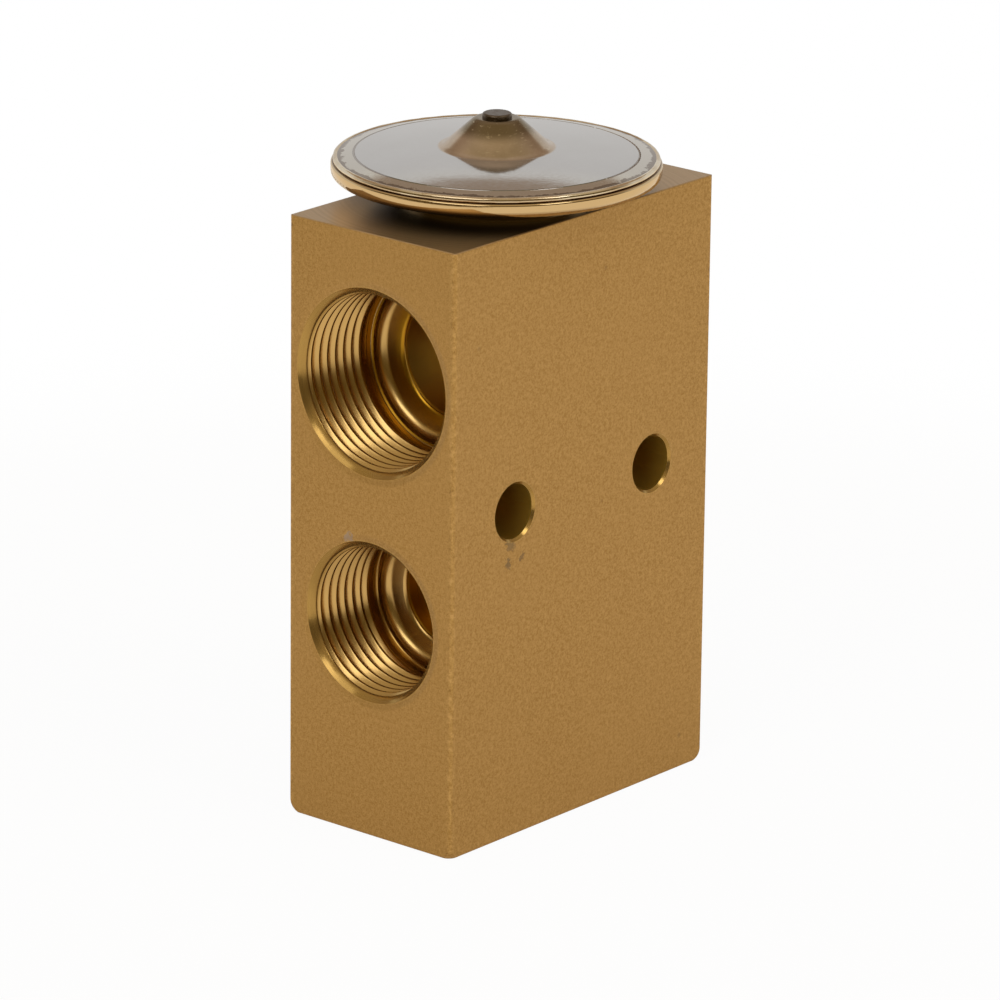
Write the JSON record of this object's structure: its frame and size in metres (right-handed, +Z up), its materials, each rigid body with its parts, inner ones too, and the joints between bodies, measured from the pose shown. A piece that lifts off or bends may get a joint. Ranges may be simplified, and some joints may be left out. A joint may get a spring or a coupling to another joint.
{
  "type": "block expansion valve",
  "caption": "Upright brass block valve with threaded ports on its narrow faces, cross mounting holes, a round diaphragm head on top and a socket adjusting screw in its foot.",
  "frame": {"origin": "middle of the block's foot, on the plane the block stands on", "axes": "+Z up towards the diaphragm head, +X towards the narrow face with the smaller low port, +Y out of the wide face at the back"},
  "size_m": [0.0472, 0.039, 0.0842],
  "materials": {
    "block_brass": "fine matt blasted",
    "head_steel": "bright pressed sheet",
    "plug_steel": "dull, tinted by welding",
    "foil_steel": "thin bright sheet",
    "inner_brass": "turned",
    "screw_brass": "turned",
    "rod_steel": "ground",
    "spring_steel": "drawn wire and sheet",
    "ring_rubber": "smooth moulded"
  },
  "bodies": {
    "valve_body": {"valve_block": "block_brass", "lower_cover": "head_steel", "upper_cover": "head_steel", "charge_plug": "plug_steel", "diaphragm": "foil_steel", "head_seal": "ring_rubber", "rod_seal": "ring_rubber", "seal_retainer": "inner_brass", "superheat_spring": "spring_steel"},
    "valve_train": {"diaphragm_stop": "inner_brass", "sensing_rod": "rod_steel", "push_pin": "rod_steel", "valve_ball": "rod_steel", "ball_carrier": "inner_brass", "damping_spring": "spring_steel"},
    "adjuster_carriage": {"adjuster_seal": "ring_rubber"},
    "adjuster": {"adjusting_screw": "screw_brass"}
  },
  "joints": [
    {"name": "valve_lift", "type": "slide", "parent": "valve_body", "child": "valve_train", "axis": [0, 0, -1], "range_m": [0, 0.0007], "stiffness_N_per_m": 6000, "springref_m": -0.0004, "deforming": ["superheat_spring"]},
    {"name": "adjuster_travel", "type": "slide", "parent": "valve_body", "child": "adjuster_carriage", "axis": [0, 0, 1], "range_m": [-0.001, 0.001], "deforming": ["superheat_spring"]},
    {"name": "adjuster_turn", "type": "hinge", "parent": "adjuster_carriage", "child": "adjuster", "pos_m": [-0.0014, 0, 0], "axis": [0, 0, 1], "range_deg": [-360, 360]}
  ],
  "couplings": [
    {"joint": "adjuster_turn", "follows": "adjuster_travel", "rad_per_m": 6283.2}
  ]
}
